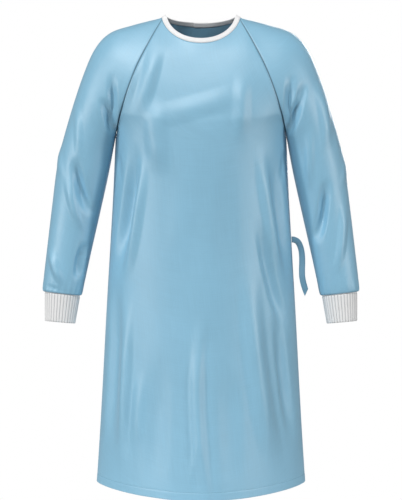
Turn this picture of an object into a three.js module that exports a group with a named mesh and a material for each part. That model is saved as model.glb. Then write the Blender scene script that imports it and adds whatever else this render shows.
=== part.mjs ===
// Surgical gown with raglan sleeves, a bound neck, knit cuffs and a wrapped back with two waist ties.
// It keeps the hollow form that it has when it is worn, with its sleeves hanging at its sides.
// Millimetres, +Z up. The gown faces -Y, and the wearer's left side is +X.
// The origin is the middle of the neck opening, level with the top of the binding at the shoulders.
import * as THREE from "three";

// Walls and clearances
const CLOTH = 1.5; // wall of the panels and sleeves
const SEAM_GAP = 0.3; // between two pieces that are sewn together
const EDGE_EASE = 0.5; // how far a wall's inner face stops short of its outer face at an edge

// Body
const BODY_LENGTH = 1160; // from the shoulder at the neck down to the hem
const UNDERARM = 298; // from the shoulder at the neck down to the underarm
const LAP = 0.18; // share of a half back by which each back panel passes the centre
const LAP_STEP = 4; // how far the upper back panel stands off the lower one
const FOLD_RUNOUT = { panel: 0.14, sleeve: 0.05 }; // share of a panel, beside a seam, where folds run out

// Neck binding, cuffs and ties
const BINDING = { width: 13, wall: 2.6, proud: 0.5, gap: 0.4, stations: 24 };
const CUFF = { wall: 2.2, ribs: 32, ribHeight: 0.9, rings: 3 };
const TIE = { width: 15, wall: 1.6, slant: 7, drop: 550, steps: 26 }; // drop is down to the sewn end

// Facets of each piece
const FRONT_GRID = { across: 36, yoke: 10, skirt: 16 };
const BACK_GRID = { across: 18, yoke: 9, skirt: 14 };
const SLEEVE_GRID = { across: 24, yoke: 10, arm: 14, gather: 1.97 }; // gather is a level of its own

// A level runs from 0 at the neck to 1 at the underarm, and on to 2 at the hem or at the wrist.
// Front raglan seam on the +X side: its points, and the handles with which cloth leaves it,
// towards the middle of the panel and out over the sleeve.
const FRONT_RAGLAN = [
  { level: 0.0, at: [95, -14, -7.5], panel: [-9, -33, -29], sleeve: [2, 9, 5] },
  { level: 0.2, at: [123, -58, -56], panel: [-20, -20, -14], sleeve: [14, 14, 10] },
  { level: 0.4, at: [153, -84, -115], panel: [-44, -12, -8], sleeve: [36, 9, 9] },
  { level: 0.6, at: [176, -91, -173], panel: [-50, -12, -5], sleeve: [40, 8, 9] },
  { level: 0.8, at: [194, -76, -232], panel: [-42, -28, -3], sleeve: [34, -12, 9] },
  { level: 0.92, at: [204, -44, -272], panel: [-22, -46, -2], sleeve: [18, -54, 5] },
  { level: 1.0, at: [210, -1, -UNDERARM], panel: [-2, -60, 0], sleeve: [3, -95, 0] },
];

// Back raglan seam, in the same way.
const BACK_RAGLAN = [
  { level: 0.0, at: [84, 42, -15], panel: [-22, 14, -8], sleeve: [8, -13, 5] },
  { level: 0.2, at: [118, 77, -60], panel: [-34, 13, -8], sleeve: [22, -9, 10] },
  { level: 0.4, at: [150, 96, -118], panel: [-46, 9, -5], sleeve: [36, -5, 10] },
  { level: 0.6, at: [174, 98, -176], panel: [-50, 9, -3], sleeve: [40, -4, 9] },
  { level: 0.8, at: [194, 79, -236], panel: [-42, 27, -3], sleeve: [34, 12, 8] },
  { level: 0.92, at: [204, 45, -274], panel: [-22, 46, -2], sleeve: [18, 54, 5] },
  { level: 1.0, at: [210, 1, -UNDERARM], panel: [-2, 57, 0], sleeve: [3, 95, 0] },
];

// Centre lines of the front and the back above the underarm.
const FRONT_CENTRE = [
  { level: 0.0, y: -73, z: -65, reach: 52 },
  { level: 0.25, y: -93, z: -116, reach: 68 },
  { level: 0.5, y: -111, z: -170, reach: 92 },
  { level: 0.75, y: -125, z: -233, reach: 110 },
];
const BACK_CENTRE = [
  { level: 0.0, y: 66, z: -30, reach: 34 },
  { level: 0.25, y: 88, z: -84, reach: 56 },
  { level: 0.5, y: 107, z: -150, reach: 84 },
  { level: 0.75, y: 119, z: -223, reach: 108 },
];

// Sections of the body from the underarm to the hem: the half width and the depths to front and back, the
// share of a depth that the cloth runs straight back at the side seam, and the share of the half width
// that it runs straight across at the centre.
const BODY_SECTIONS = [
  { level: 1.0, half: 210, front: 134, back: 127, side: 0.44, centre: 0.58 },
  { level: 1.15, half: 216, front: 138, back: 129, side: 0.44, centre: 0.58 },
  { level: 1.3, half: 224, front: 146, back: 135, side: 0.42, centre: 0.57 },
  { level: 1.5, half: 235, front: 160, back: 148, side: 0.39, centre: 0.55 },
  { level: 1.7, half: 245, front: 177, back: 162, side: 0.35, centre: 0.53 },
  { level: 1.85, half: 253, front: 191, back: 173, side: 0.31, centre: 0.51 },
  { level: 2.0, half: 262, front: 206, back: 185, side: 0.27, centre: 0.5 },
];

// Sleeve sections: the outer ridge, the inner edge below the underarm, the depth to front and back, and the
// tilt by which a section rises to the front. Above the underarm a section ends on the raglan seams, and
// depth is its handle at the ridge.
const SLEEVE_SECTIONS = [
  { level: 0.0, ridge: [97, 13, -6], inner: [210, 0, -UNDERARM], depth: 9, tilt: 0 },
  { level: 0.2, ridge: [165, 8, -23], inner: [210, 0, -UNDERARM], depth: 30, tilt: 0 },
  { level: 0.4, ridge: [223, 6, -43], inner: [210, 0, -UNDERARM], depth: 46, tilt: 0 },
  { level: 0.6, ridge: [261, 4, -84], inner: [210, 0, -UNDERARM], depth: 57, tilt: 0 },
  { level: 0.8, ridge: [293, 3, -158], inner: [210, 0, -UNDERARM], depth: 66, tilt: 0 },
  { level: 1.0, ridge: [325, 2, -254], inner: [210, 0, -UNDERARM], depth: 71, tilt: 0 },
  { level: 1.25, ridge: [352, 2, -357], inner: [227, 1, -385], depth: 68, tilt: 0.03 },
  { level: 1.5, ridge: [367, -3, -465], inner: [250, -2, -487], depth: 62, tilt: 0.06 },
  { level: 1.75, ridge: [380, -13, -572], inner: [273, -12, -587], depth: 55, tilt: 0.1 },
  { level: 1.9, ridge: [388, -21, -640], inner: [287, -20, -651], depth: 49, tilt: 0.14 },
  { level: 1.97, ridge: [391, -24, -671], inner: [294, -23, -682], depth: 45, tilt: 0.15 },
  { level: 2.0, ridge: [386, -25, -678], inner: [299, -24, -688], depth: 40, tilt: 0.15 },
];
const ARM_SECTIONS = SLEEVE_SECTIONS.filter((row) => row.level >= 1);
const CUFF_END = { ridge: [386, -32, -748], inner: [311, -31, -755], depth: 33, tilt: 0.15 };

// Folds, as they lie in the front view: from one end to the other, with the half width of each and
// its height, which is below zero for a trough. The side is the face of the gown that it lies on.
const FOLDS = [
  { side: "front", from: [-108, -75], to: [-148, -225], half: 24, height: 4 },
  { side: "front", from: [-102, -215], to: [-92, -335], half: 30, height: 5 },
  { side: "front", from: [-110, -222], to: [86, -182], half: 24, height: 3 },
  { side: "front", from: [99, -165], to: [94, -265], half: 22, height: 4 },
  { side: "front", from: [-163, -315], to: [-208, -560], half: 20, height: -8 },
  { side: "front", from: [-145, -345], to: [-180, -610], half: 20, height: 6 },
  { side: "front", from: [142, -318], to: [182, -565], half: 20, height: 6 },
  { side: "front", from: [164, -330], to: [216, -620], half: 22, height: -8 },
  { side: "front", from: [172, -560], to: [222, -790], half: 24, height: -6 },
  { side: "front", from: [-176, -680], to: [-197, -BODY_LENGTH], half: 26, height: 8 },
  { side: "front", from: [-10, -690], to: [10, -BODY_LENGTH], half: 30, height: 8 },
  { side: "front", from: [136, -740], to: [186, -BODY_LENGTH], half: 36, height: 10 },
  { side: "front", from: [-104, -800], to: [-112, -BODY_LENGTH], half: 34, height: -6 },
  { side: "front", from: [72, -820], to: [84, -BODY_LENGTH], half: 34, height: -6 },
  { side: "back", from: [-150, -320], to: [-196, -590], half: 24, height: -7 },
  { side: "back", from: [150, -320], to: [196, -600], half: 24, height: -7 },
  { side: "back", from: [-150, -700], to: [-172, -BODY_LENGTH], half: 34, height: 9 },
  { side: "back", from: [160, -660], to: [176, -BODY_LENGTH], half: 34, height: 9 },
  { side: "back", from: [-92, -760], to: [-108, -BODY_LENGTH], half: 30, height: -6 },
  { side: "back", from: [112, -780], to: [122, -BODY_LENGTH], half: 30, height: -6 },
  { side: "sleeves", from: [-213, -290], to: [-217, -135], half: 13, height: -8 },
  { side: "sleeves", from: [-215, -290], to: [-240, -195], half: 13, height: -8 },
  { side: "sleeves", from: [213, -290], to: [217, -135], half: 13, height: -8 },
  { side: "sleeves", from: [215, -290], to: [240, -195], half: 13, height: -8 },
  { side: "sleeves", from: [-312, -345], to: [-270, -480], half: 17, height: -9 },
  { side: "sleeves", from: [-328, -375], to: [-294, -495], half: 14, height: 5 },
  { side: "sleeves", from: [306, -360], to: [284, -520], half: 17, height: -9 },
  { side: "sleeves", from: [276, -290], to: [268, -410], half: 16, height: 5 },
  { side: "sleeves", from: [350, -430], to: [330, -625], half: 15, height: 5 },
  { side: "sleeves", from: [-366, -515], to: [-340, -640], half: 15, height: 5 },
];

// The side tie, from the side seam to its free end, measured from the seam. Each point has the turn of the
// tape's width from the view's plane, in degrees.
const SIDE_TIE = [
  { at: [0.4, 0, 0], turn: 0 },
  { at: [6, 0, 0], turn: 2 },
  { at: [16, 3, -6], turn: 10 },
  { at: [23, 8, -20], turn: 18 },
  { at: [26.5, 10, -36], turn: 16 },
  { at: [27.5, 10, -56], turn: 10 },
  { at: [27, 8, -76], turn: 4 },
  { at: [27.5, 6, -93], turn: -2 },
  { at: [30.5, 5, -109], turn: -8 },
  { at: [35, 5, -124], turn: -12 },
  { at: [38.5, 6, -133], turn: -14 },
];

// The back tie, from its sewn end on the upper back panel to its free end: how far down it each point is,
// and how far the tape's middle lies from the panel's free edge, as a share of a half back.
const BACK_TIE = [
  { down: 0, inset: 0.034 },
  { down: 40, inset: 0.036 },
  { down: 80, inset: 0.046 },
  { down: 120, inset: 0.05 },
  { down: 165, inset: 0.04 },
];
const BACK_TIE_CLEAR = 0.6; // from the panel's smooth face to the tape

const COLOURS = { cloth: 0x89bbd4, knit: 0xf2f3f2, tie: 0x84b5cf };

// Tables

// All columns of a table at one level, on a smooth curve through its rows.
function sample(table, level) {
  const last = table.length - 2;
  let row = 0;
  while (row < last && level > table[row + 1].level) row += 1;
  const [low, high] = [table[row], table[row + 1]];
  const span = high.level - low.level;
  const share = (level - low.level) / span;
  const found = {};
  for (const column of Object.keys(low)) {
    if (Array.isArray(low[column])) {
      found[column] = low[column].map((_, axis) => blend(table, row, share, (r) => r[column][axis]));
    } else {
      found[column] = blend(table, row, share, (r) => r[column]);
    }
  }
  return found;
}

// One value between two rows, by a cubic whose slopes come from the neighbouring rows.
function blend(table, row, share, value) {
  const slope = (i) => {
    const before = Math.max(i - 1, 0);
    const after = Math.min(i + 1, table.length - 1);
    return (value(table[after]) - value(table[before])) / (table[after].level - table[before].level);
  };
  const span = table[row + 1].level - table[row].level;
  const squared = share * share;
  const cubed = squared * share;
  return (
    value(table[row]) * (2 * cubed - 3 * squared + 1) +
    slope(row) * span * (cubed - 2 * squared + share) +
    value(table[row + 1]) * (3 * squared - 2 * cubed) +
    slope(row + 1) * span * (cubed - squared)
  );
}

function bezier(start, startHandle, endHandle, end, share) {
  const rest = 1 - share;
  const first = start.clone().add(startHandle);
  const second = end.clone().add(endHandle);
  return start
    .clone()
    .multiplyScalar(rest ** 3)
    .addScaledVector(first, 3 * share * rest ** 2)
    .addScaledVector(second, 3 * share ** 2 * rest)
    .addScaledVector(end, share ** 3);
}

const vector = (numbers) => new THREE.Vector3(...numbers);
const mirrored = (point) => new THREE.Vector3(-point.x, point.y, point.z);
const smooth = (low, high, value) => THREE.MathUtils.smoothstep(value, low, high);

// Body

const SKIRT = BODY_LENGTH - UNDERARM; // from the underarm down to the hem
const bodyZ = (level) => -UNDERARM - SKIRT * (level - 1);
const levelAt = (drop) => 1 + (drop - UNDERARM) / SKIRT;

// The centre line of the front or back over all levels, from the yoke's table and the body's sections.
function centreLine(yoke, depthOf) {
  const below = BODY_SECTIONS.map((row) => ({
    level: row.level,
    y: depthOf(row),
    z: bodyZ(row.level),
    reach: row.centre * row.half,
  }));
  return [...yoke, ...below];
}

const FRONT = {
  raglan: FRONT_RAGLAN,
  centre: centreLine(FRONT_CENTRE, (row) => -row.front),
  sign: -1,
};
const BACK = {
  raglan: BACK_RAGLAN,
  centre: centreLine(BACK_CENTRE, (row) => row.back),
  sign: 1,
};

// One side of a raglan seam, half a gap from its middle: the edge of the cloth and the handle away from it.
function raglanEdge(half, level, ownHandle, otherHandle) {
  const seam = sample(half.raglan, level);
  const handle = vector(seam[ownHandle]);
  const away = handle.clone().normalize().sub(vector(seam[otherHandle]).normalize()).normalize();
  return { at: vector(seam.at).addScaledVector(away, SEAM_GAP / 2), handle };
}

// The edge of a body panel on the +X side, and its handle towards the middle.
function panelEdge(half, level) {
  if (level <= 1) return raglanEdge(half, level, "panel", "sleeve");
  const section = sample(BODY_SECTIONS, level);
  const depth = half.sign < 0 ? section.front : section.back;
  const at = new THREE.Vector3(section.half, (half.sign * SEAM_GAP) / 2, bodyZ(level));
  return { at, handle: new THREE.Vector3(0, half.sign * section.side * depth, 0) };
}

// A point of the front or back: across runs from -1 at the -X edge, by 0 at the centre, to 1.
function bodyPoint(half, level, across) {
  const edge = panelEdge(half, level);
  const centre = sample(half.centre, level);
  const middle = new THREE.Vector3(0, centre.y, centre.z);
  const reach = new THREE.Vector3(centre.reach, 0, 0);
  const point = bezier(middle, reach, edge.handle, edge.at, Math.abs(across));
  return across < 0 ? mirrored(point) : point;
}

// Sleeves

// Where a sleeve section starts, at the front, or ends, at the back, and its handle there.
function sleeveEdge(half, level) {
  if (level <= 1) return raglanEdge(half, level, "sleeve", "panel");
  return armEdge(sample(ARM_SECTIONS, level), half.sign);
}

// The edge of a closed section of the arm, beside the underarm seam.
function armEdge(section, sign) {
  const at = vector(section.inner).add(new THREE.Vector3(0, (sign * SEAM_GAP) / 2, 0));
  return { at, handle: sideHandle(section, sign) };
}

// The handle with which a sleeve section leaves its ridge or its inner edge, to the front or the back.
function sideHandle(section, sign) {
  const reach = (sign * section.depth * 4) / 3;
  return new THREE.Vector3(0, reach, -reach * section.tilt);
}

// A point of the +X sleeve: around runs from 0 at its front edge, by 0.5 at the ridge, to 1.
function sleevePoint(level, around) {
  const section = sample(SLEEVE_SECTIONS, level);
  const half = around <= 0.5 ? FRONT : BACK;
  const edge = sleeveEdge(half, level);
  const share = around <= 0.5 ? 2 * around : 2 - 2 * around;
  return halfSection(section, edge, half.sign, share);
}

function halfSection(section, edge, sign, share) {
  return bezier(edge.at, edge.handle, sideHandle(section, sign), vector(section.ridge), share);
}

// Folds

// How far the folds of one side move a point out of the surface.
function foldHeight(side, point) {
  let height = 0;
  for (const fold of FOLDS) {
    if (fold.side !== side) continue;
    const [ax, az] = fold.from;
    const [dx, dz] = [fold.to[0] - ax, fold.to[1] - az];
    const along = ((point.x - ax) * dx + (point.z - az) * dz) / (dx * dx + dz * dz);
    const nearest = THREE.MathUtils.clamp(along, 0, 1);
    const away = Math.hypot(point.x - ax - nearest * dx, point.z - az - nearest * dz) / fold.half;
    if (away >= 1) continue;
    const runsToHem = fold.to[1] <= -BODY_LENGTH;
    const fade = smooth(0, 0.25, nearest) * (runsToHem ? 1 : smooth(0, 0.25, 1 - nearest));
    height += fold.height * fade * (1 - away * away) ** 2;
  }
  return height;
}

// Shells

// Unit normals of a grid of points, row by row, on the side that winding gives.
function gridNormals(grid) {
  const [rows, columns] = [grid.length, grid[0].length];
  return grid.map((line, r) =>
    line.map((_, c) => {
      const down = grid[Math.min(r + 1, rows - 1)][c].clone().sub(grid[Math.max(r - 1, 0)][c]);
      const over = line[Math.min(c + 1, columns - 1)].clone().sub(line[Math.max(c - 1, 0)]);
      return over.cross(down).normalize();
    }),
  );
}

// The points of a grid, moved along their normals by what height gives for each.
function raised(grid, height) {
  const normals = gridNormals(grid);
  return grid.map((line, r) =>
    line.map((point, c) => point.clone().addScaledVector(normals[r][c], height(point, r, c))),
  );
}

// The inner face of a wall: the outer face moved in by the wall, and drawn back a little at its edges.
function innerFace(grid, wall, ease) {
  const [rows, columns] = [grid.length, grid[0].length];
  const inner = raised(grid, () => -wall);
  const drawn = (point, from, to) => {
    const step = to.clone().sub(from);
    return point.addScaledVector(step, ease / step.length());
  };
  for (let r = 0; r < rows; r += 1) {
    drawn(inner[r][0], grid[r][0], grid[r][1]);
    drawn(inner[r][columns - 1], grid[r][columns - 1], grid[r][columns - 2]);
  }
  for (let c = 0; c < columns; c += 1) {
    drawn(inner[0][c], grid[0][c], grid[1][c]);
    drawn(inner[rows - 1][c], grid[rows - 1][c], grid[rows - 2][c]);
  }
  return inner;
}

// A closed wall between two faces with the same grid. A tube's last column meets its first.
function wallGeometry(outer, inner, tube = false) {
  const [rows, columns] = [outer.length, outer[0].length];
  const positions = [...outer.flat(), ...inner.flat()].flatMap((p) => [p.x, p.y, p.z]);
  const index = [];
  const quad = (a, b, c, d) => index.push(a, b, c, a, c, d);
  const out = (r, c) => r * columns + (c % columns);
  const into = (r, c) => rows * columns + out(r, c);
  const spans = tube ? columns : columns - 1;
  for (let c = 0; c < spans; c += 1) {
    for (let r = 0; r < rows - 1; r += 1) {
      quad(out(r, c), out(r, c + 1), out(r + 1, c + 1), out(r + 1, c));
      quad(into(r, c), into(r + 1, c), into(r + 1, c + 1), into(r, c + 1));
    }
    quad(out(0, c), into(0, c), into(0, c + 1), out(0, c + 1));
    quad(out(rows - 1, c), out(rows - 1, c + 1), into(rows - 1, c + 1), into(rows - 1, c));
  }
  for (let r = 0; r < rows - 1 && !tube; r += 1) {
    const end = columns - 1;
    quad(out(r, 0), out(r + 1, 0), into(r + 1, 0), into(r, 0));
    quad(out(r, end), into(r, end), into(r + 1, end), out(r + 1, end));
  }
  const geometry = new THREE.BufferGeometry();
  geometry.setAttribute("position", new THREE.Float32BufferAttribute(positions, 3));
  geometry.setIndex(index);
  geometry.computeVertexNormals();
  return geometry;
}

const steps = (low, high, count) =>
  Array.from({ length: count + 1 }, (_, i) => low + ((high - low) * i) / count);

// The levels of a piece's rows: some down to the underarm and some below it.
const levelsOf = (upper, lower) => [...steps(0, 1, upper), ...steps(1, 2, lower).slice(1)];

function mesh(name, geometry, colour, roughness) {
  const material = new THREE.MeshStandardMaterial({ color: colour, roughness, metalness: 0 });
  const made = new THREE.Mesh(geometry, material);
  made.name = name;
  return made;
}

const clothMesh = (name, geometry) => mesh(name, geometry, COLOURS.cloth, 0.62);

// Panels

function frontPanel() {
  const levels = levelsOf(FRONT_GRID.yoke, FRONT_GRID.skirt);
  const across = steps(1, -1, FRONT_GRID.across);
  const grid = levels.map((level) => across.map((a) => bodyPoint(FRONT, level, a)));
  const runOut = across.map((a) => smooth(0, FOLD_RUNOUT.panel, 1 - Math.abs(a)));
  const outer = raised(grid, (point, row, column) => foldHeight("front", point) * runOut[column]);
  return clothMesh("front_panel", wallGeometry(outer, innerFace(outer, CLOTH, EDGE_EASE)));
}

// How far the upper back panel stands off the smooth form of the back.
const upperLift = (across) => LAP_STEP * smooth(-0.75, -0.3, across);

// The outer face of the upper back panel, which starts at the -X edge, or of the lower one.
function backFace(upper) {
  const levels = levelsOf(BACK_GRID.yoke, BACK_GRID.skirt);
  const across = upper ? steps(-1, LAP, BACK_GRID.across) : steps(-LAP, 1, BACK_GRID.across);
  const grid = levels.map((level) => across.map((a) => bodyPoint(BACK, level, a)));
  const lift = across.map((a) => (upper ? upperLift(a) : 0));
  const runOut = across.map((a) => smooth(0, FOLD_RUNOUT.panel, 1 - Math.abs(a)));
  return raised(grid, (point, row, column) => foldHeight("back", point) * runOut[column] + lift[column]);
}

function backPanel(name, upper) {
  const outer = backFace(upper);
  return clothMesh(name, wallGeometry(outer, innerFace(outer, CLOTH, EDGE_EASE)));
}

function sleeve(name, side) {
  const levels = levelsOf(SLEEVE_GRID.yoke, SLEEVE_GRID.arm);
  levels.splice(-1, 0, SLEEVE_GRID.gather);
  const around = steps(0, 1, SLEEVE_GRID.across);
  const order = side > 0 ? [...around].reverse() : around;
  const placed = (point) => (side > 0 ? point : mirrored(point));
  const grid = levels.map((level) => order.map((a) => placed(sleevePoint(level, a))));
  const runOut = order.map((a) => smooth(0, FOLD_RUNOUT.sleeve, Math.min(a, 1 - a)));
  const outer = raised(grid, (point, row, column) => foldHeight("sleeves", point) * runOut[column]);
  return clothMesh(name, wallGeometry(outer, innerFace(outer, CLOTH, EDGE_EASE)));
}

// Cuffs

// A point of the +X cuff's plain outer face: down runs from 0 at the sleeve to 1, around from 0 to 1.
function cuffPoint(down, around) {
  const top = SLEEVE_SECTIONS.at(-1);
  const between = (a, b) => a + (b - a) * down;
  const section = {
    ridge: top.ridge.map((value, i) => between(value, CUFF_END.ridge[i])),
    inner: top.inner.map((value, i) => between(value, CUFF_END.inner[i])),
    depth: between(top.depth, CUFF_END.depth),
    tilt: between(top.tilt, CUFF_END.tilt),
  };
  const sign = around <= 0.5 ? -1 : 1;
  const share = around <= 0.5 ? 2 * around : 2 - 2 * around;
  const point = halfSection(section, armEdge(section, sign), sign, share);
  point.z -= SEAM_GAP;
  return point;
}

const RIB_POINTS = [0, 1, 1]; // the height of the knit at each point of a rib, from its valley

function cuff(name, side) {
  const columns = CUFF.ribs * RIB_POINTS.length;
  const turns = Array.from({ length: columns }, (_, i) => (side > 0 ? columns - 1 - i : i) / columns);
  const placed = (point) => (side > 0 ? point : mirrored(point));
  const plain = steps(0, 1, CUFF.rings - 1).map((down) => turns.map((a) => placed(cuffPoint(down, a))));
  const outer = raised(plain, (point, row, column) => {
    const rib = side > 0 ? columns - 1 - column : column;
    return CUFF.ribHeight * (RIB_POINTS[rib % RIB_POINTS.length] - 1);
  });
  const inner = raised(plain, () => -CUFF.wall);
  return mesh(name, wallGeometry(outer, inner, true), COLOURS.knit, 0.85);
}

// Neck binding

// The neckline from the lower back panel's free end, round the +X side, the front and the -X side, to the
// upper panel's free end: each station has its point and the way out of the cloth's top edge.
function neckline() {
  const { stations } = BINDING;
  const topEdge = (pointAt, lift) => {
    const [edge, below] = [pointAt(0), pointAt(0.03)];
    return { at: edge, up: edge.clone().sub(below).normalize(), lift };
  };
  const back = (a, lift) => topEdge((level) => bodyPoint(BACK, level, a), lift);
  const front = (a) => topEdge((level) => bodyPoint(FRONT, level, a), 0);
  const shoulder = (a, side) =>
    topEdge((level) => (side > 0 ? sleevePoint(level, a) : mirrored(sleevePoint(level, a))), 0);
  const inside = (list) => list.slice(1, -1);
  return [
    ...steps(-LAP, 1, stations).slice(0, -1).map((a) => back(a, 0)),
    ...inside(steps(1, 0, stations / 3)).map((a) => shoulder(a, 1)),
    ...inside(steps(1, -1, 2 * stations)).map((a) => front(a)),
    ...inside(steps(0, 1, stations / 3)).map((a) => shoulder(a, -1)),
    ...steps(-1, LAP, stations).slice(1).map((a) => back(a, upperLift(a))),
  ];
}

// The binding's section, from the neckline up: share of its width, and share of its wall outwards.
const BINDING_SECTION = [
  { up: 0, out: 1 },
  { up: 0.8, out: 1 },
  { up: 1, out: 0.7 },
  { up: 1, out: 0.3 },
  { up: 0.8, out: 0 },
  { up: 0, out: 0 },
];

function neckBinding() {
  const line = neckline();
  const rings = line.map((station, i) => {
    const before = line[Math.max(i - 1, 0)].at;
    const after = line[Math.min(i + 1, line.length - 1)].at;
    const along = after.clone().sub(before).normalize();
    const outward = station.up.clone().cross(along).normalize();
    const upward = along.clone().cross(outward);
    const foot = station.at
      .clone()
      .addScaledVector(upward, BINDING.gap)
      .addScaledVector(outward, station.lift + BINDING.proud - BINDING.wall);
    return BINDING_SECTION.map(({ up, out }) =>
      foot
        .clone()
        .addScaledVector(upward, up * (BINDING.width - BINDING.gap))
        .addScaledVector(outward, out * BINDING.wall),
    );
  });
  return mesh("neck_binding", barGeometry(rings), COLOURS.knit, 0.8);
}

// A closed bar through rings of points, with flat ends.
function barGeometry(rings) {
  const sides = rings[0].length;
  const positions = rings.flat().flatMap((p) => [p.x, p.y, p.z]);
  const index = [];
  for (let r = 0; r < rings.length - 1; r += 1) {
    for (let s = 0; s < sides; s += 1) {
      const [a, b] = [r * sides + s, r * sides + ((s + 1) % sides)];
      index.push(a, b, b + sides, a, b + sides, a + sides);
    }
  }
  const last = (rings.length - 1) * sides;
  for (let s = 1; s < sides - 1; s += 1) {
    index.push(0, s + 1, s, last, last + s, last + s + 1);
  }
  const geometry = new THREE.BufferGeometry();
  geometry.setAttribute("position", new THREE.Float32BufferAttribute(positions, 3));
  geometry.setIndex(index);
  geometry.computeVertexNormals();
  return geometry;
}

// Ties

// The side tie is a flat tape that leaves the side seam, arches out and hangs.
function sideTie() {
  const seam = sample(BODY_SECTIONS, levelAt(TIE.drop)).half;
  const start = new THREE.Vector3(seam + SEAM_GAP, 0, -TIE.drop);
  const route = new THREE.CatmullRomCurve3(SIDE_TIE.map(({ at }) => vector(at).add(start)));
  const turns = SIDE_TIE.map(({ turn }, i) => ({ level: i / (SIDE_TIE.length - 1), turn }));
  const facing = new THREE.Vector3(0, -1, 0);
  const rings = steps(0, 1, TIE.steps).map((share) => {
    const along = route.getTangent(share);
    const { turn } = sample(turns, share);
    const wide = facing.clone().cross(along).normalize();
    wide.applyAxisAngle(along, THREE.MathUtils.degToRad(turn));
    const thick = along.clone().cross(wide).normalize();
    const slant = TIE.slant * smooth(0.85, 1, share);
    const corner = (w, t) =>
      route
        .getPoint(share)
        .addScaledVector(wide, (w * TIE.width) / 2)
        .addScaledVector(thick, (t * TIE.wall) / 2)
        .addScaledVector(along, -w * slant);
    return [corner(-1, -1), corner(1, -1), corner(1, 1), corner(-1, 1)];
  });
  return mesh("side_tie", barGeometry(rings), COLOURS.tie, 0.62);
}

// A point of the upper back panel's smooth outer face, moved out by clear.
function upperBackPoint(level, across, clear) {
  const step = 0.01;
  const over = bodyPoint(BACK, level, across + step).sub(bodyPoint(BACK, level, across - step));
  const down = bodyPoint(BACK, level + step, across).sub(bodyPoint(BACK, level - step, across));
  const point = bodyPoint(BACK, level, across);
  const height = foldHeight("back", point) + upperLift(across) + clear;
  return point.addScaledVector(over.cross(down).normalize(), height);
}

// The back tie is the same tape, sewn on the upper back panel beside its free edge, and hangs flat on it.
function backTie() {
  const length = BACK_TIE.at(-1).down;
  const route = BACK_TIE.map(({ down, inset }) => ({ level: down, inset }));
  const halfTape = TIE.width / 2 / (3 * sample(BACK.centre, levelAt(TIE.drop)).reach);
  const rings = steps(0, length, TIE.steps).map((down) => {
    const middle = LAP - sample(route, down).inset;
    const slant = TIE.slant * smooth(0.85, 1, down / length);
    const corner = (w, clear) =>
      upperBackPoint(levelAt(TIE.drop + down - w * slant), middle + w * halfTape, clear);
    const [near, far] = [BACK_TIE_CLEAR, BACK_TIE_CLEAR + TIE.wall];
    return [corner(-1, near), corner(-1, far), corner(1, far), corner(1, near)];
  });
  return mesh("back_tie", barGeometry(rings), COLOURS.tie, 0.62);
}

const gown = new THREE.Group();
gown.add(
  frontPanel(),
  backPanel("back_panel_lower", false),
  backPanel("back_panel_upper", true),
  sleeve("sleeve_left", 1),
  sleeve("sleeve_right", -1),
  cuff("cuff_left", 1),
  cuff("cuff_right", -1),
  neckBinding(),
  sideTie(),
  backTie(),
);

export default gown;
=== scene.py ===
import math

import bpy
import numpy as np
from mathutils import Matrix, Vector


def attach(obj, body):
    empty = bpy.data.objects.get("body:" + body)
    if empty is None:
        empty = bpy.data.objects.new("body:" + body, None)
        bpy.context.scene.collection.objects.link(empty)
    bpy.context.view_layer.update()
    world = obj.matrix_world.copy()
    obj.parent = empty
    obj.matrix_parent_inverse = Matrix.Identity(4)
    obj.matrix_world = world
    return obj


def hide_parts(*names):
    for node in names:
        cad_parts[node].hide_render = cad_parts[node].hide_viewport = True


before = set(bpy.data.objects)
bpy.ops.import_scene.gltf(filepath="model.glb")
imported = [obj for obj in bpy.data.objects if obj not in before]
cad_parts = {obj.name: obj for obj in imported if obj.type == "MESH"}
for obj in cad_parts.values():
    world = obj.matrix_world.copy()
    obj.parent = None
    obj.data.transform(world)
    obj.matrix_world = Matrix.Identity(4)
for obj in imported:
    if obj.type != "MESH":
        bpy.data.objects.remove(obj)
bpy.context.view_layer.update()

# A surgical gown in the hollow form that it has when it is worn.
# The tables are in millimetres, as the solids are, and every mesh is made in metres.
MM = 0.001

# Camera and stage, in metres
CAMERA = {"place": (0, -4.6, 0.01), "aim": (0, 0, -0.576), "lens": 134.8, "sensor": 36}
FLOOR = {"z": -1.45, "radius": 0.85, "sides": 96}
LIGHTS = (
    {"name": "left_strip", "place": (-3.65, -2.05, 0.3), "size": (0.4, 2.4), "watts": 60},
    {"name": "right_strip", "place": (3.65, -2.05, 0.1), "size": (0.4, 2.4), "watts": 56},
    {"name": "top_box", "place": (-0.2, -0.3, 2.4), "size": (1.6, 1.0), "watts": 8},
    {"name": "back_box", "place": (0.8, 4.2, 0.1), "size": (2.0, 1.6), "watts": 95},
)
KEY = {"place": (-1.1, -3.2, 2.9), "strength": 1.9, "angle": 32}
LIGHT_AIM = (0, 0, -0.5)
AMBIENT = 0.21

# Cloth, seams and hems
CLOTH = 1.2
SEAM_GAP = 0.3
# The seam groove, and the width (dark) and strength (shade) of the painted shade along the seams
GROOVE = {"depth": 1.3, "reach": 2.2, "dark": 1.3, "shade": 0.85}
HEM = {"width": 20, "step": 0.35, "dent": 0.5, "reach": 1.6}
BODY_LENGTH = 1160
UNDERARM = 298
SKIRT = BODY_LENGTH - UNDERARM
LAP = 0.18
LAP_STEP = 2.4
LAP_RISE = (-0.75, -0.3)
FOLD_RUNOUT = {"panel": 0.12, "sleeve": 0.05, "hem": 150, "kept": 0.25, "wrist": 34}
FOLD_FADE = 0.42
UNDERARM_EASE = {"reach": 0.2, "rounds": 260, "rate": 0.25, "seam": 0.12}
GATHERS = {"count": 17, "height": 0.8, "from": 1.88, "to": 2.0, "wander": 0.5, "clear": 12}

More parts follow.
